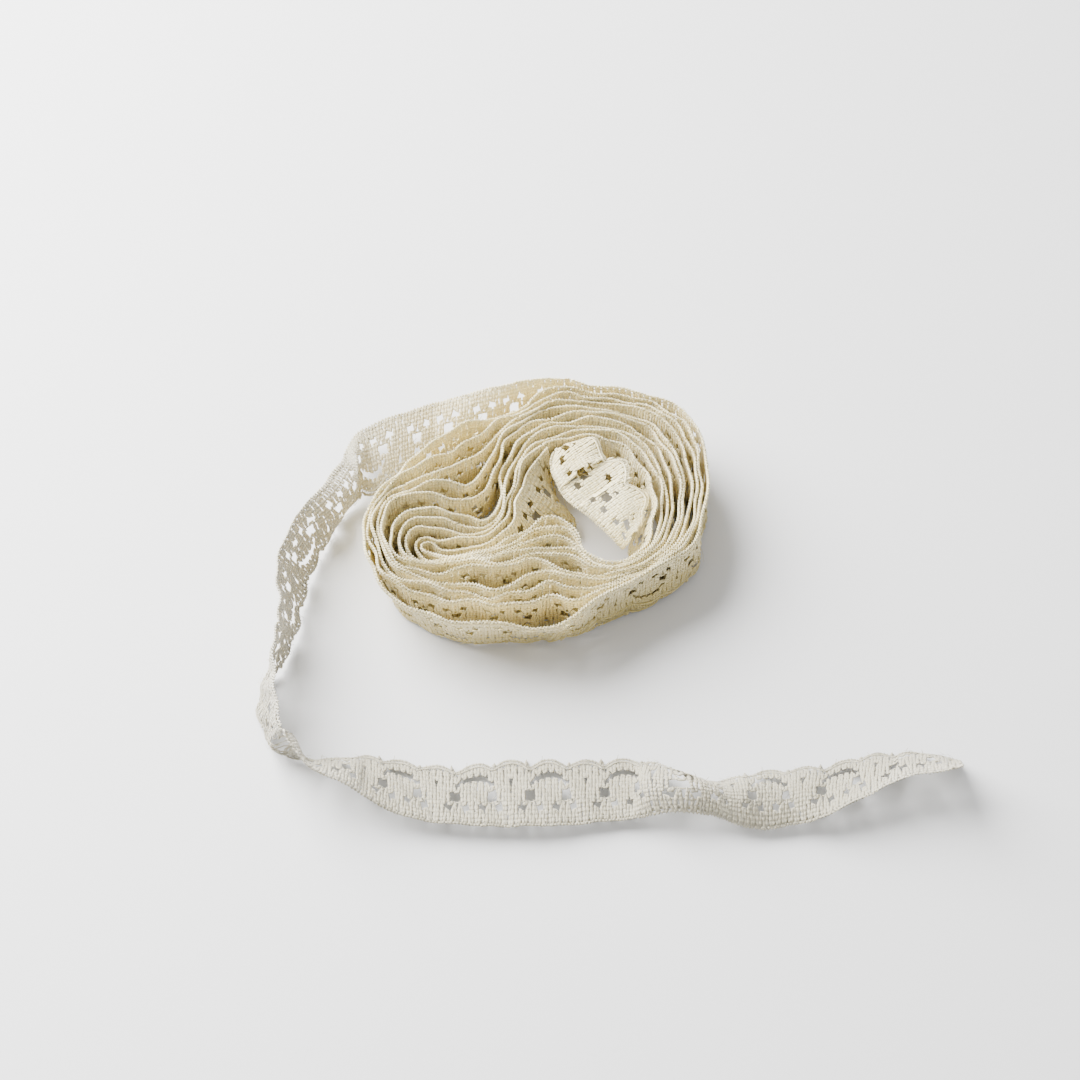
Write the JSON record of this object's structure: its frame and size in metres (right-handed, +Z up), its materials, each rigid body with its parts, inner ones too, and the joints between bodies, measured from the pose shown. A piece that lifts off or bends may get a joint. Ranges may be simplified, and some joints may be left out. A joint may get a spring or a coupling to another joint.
{
  "type": "roll of lace trim",
  "caption": "Narrow cream lace trim wound loosely on edge into a lopsided roll, with a long loose end curving round one side and across the front.",
  "frame": {"origin": "on the flat base of the wound lace, where it rests, under the neck between the two lobes of its core", "axes": "+Z up; -Y towards the viewer of the picture; +X to the right, the way that the loose end runs along the front"},
  "size_m": [0.1286, 0.0932, 0.0153],
  "materials": {
    "lace_cream": "matt cream cotton and nylon yarn"
  },
  "bodies": {
    "root": {"wound_lace": "lace_cream", "loose_end": "lace_cream", "folded_inner_end": "lace_cream"}
  },
  "joints": []
}
